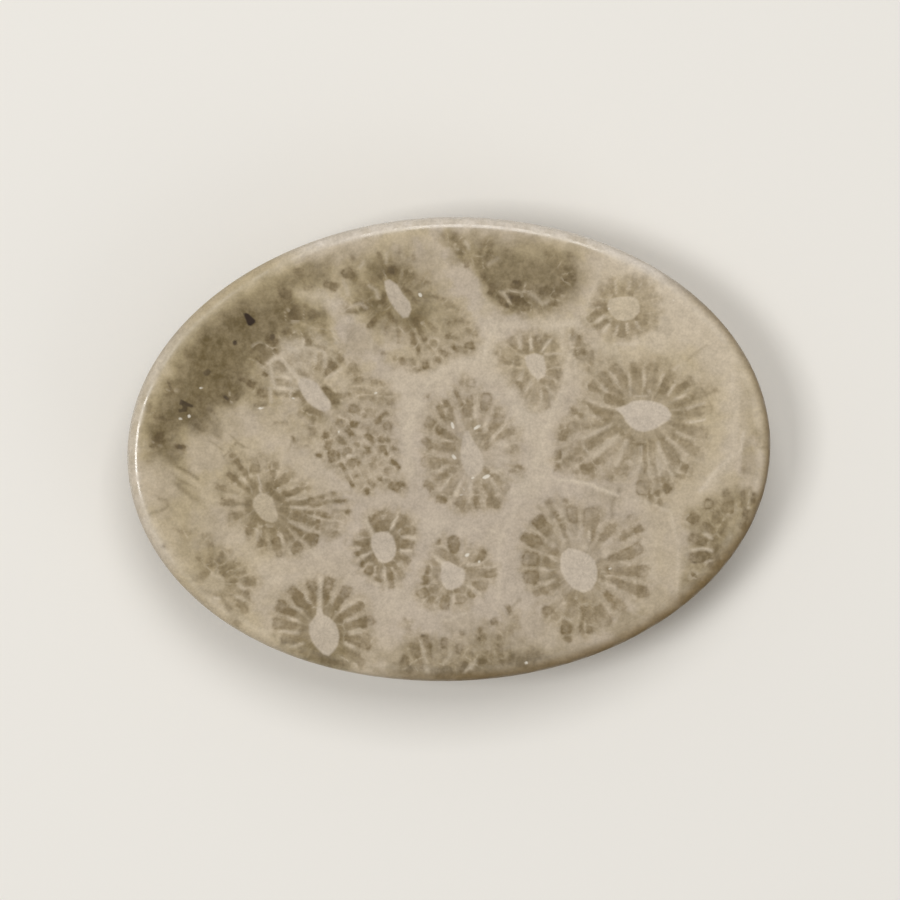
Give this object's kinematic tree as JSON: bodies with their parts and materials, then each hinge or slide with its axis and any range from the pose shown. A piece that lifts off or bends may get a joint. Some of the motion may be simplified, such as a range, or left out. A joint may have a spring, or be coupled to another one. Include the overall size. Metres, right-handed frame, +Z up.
{
  "type": "fossil coral cabochon",
  "caption": "Oval polished fossil coral cabochon with a flat back, softly rounded edge and low dome, lying on its dome with the back up.",
  "frame": {"origin": "under the middle of the stone, on the surface that its dome rests on", "axes": "+X along the oval's length, +Y across its width, +Z up out of the flat back"},
  "size_m": [0.0402, 0.029, 0.007],
  "materials": {
    "polished_fossil_coral": "satin"
  },
  "bodies": {
    "root": {"cabochon": "polished_fossil_coral"}
  },
  "joints": []
}
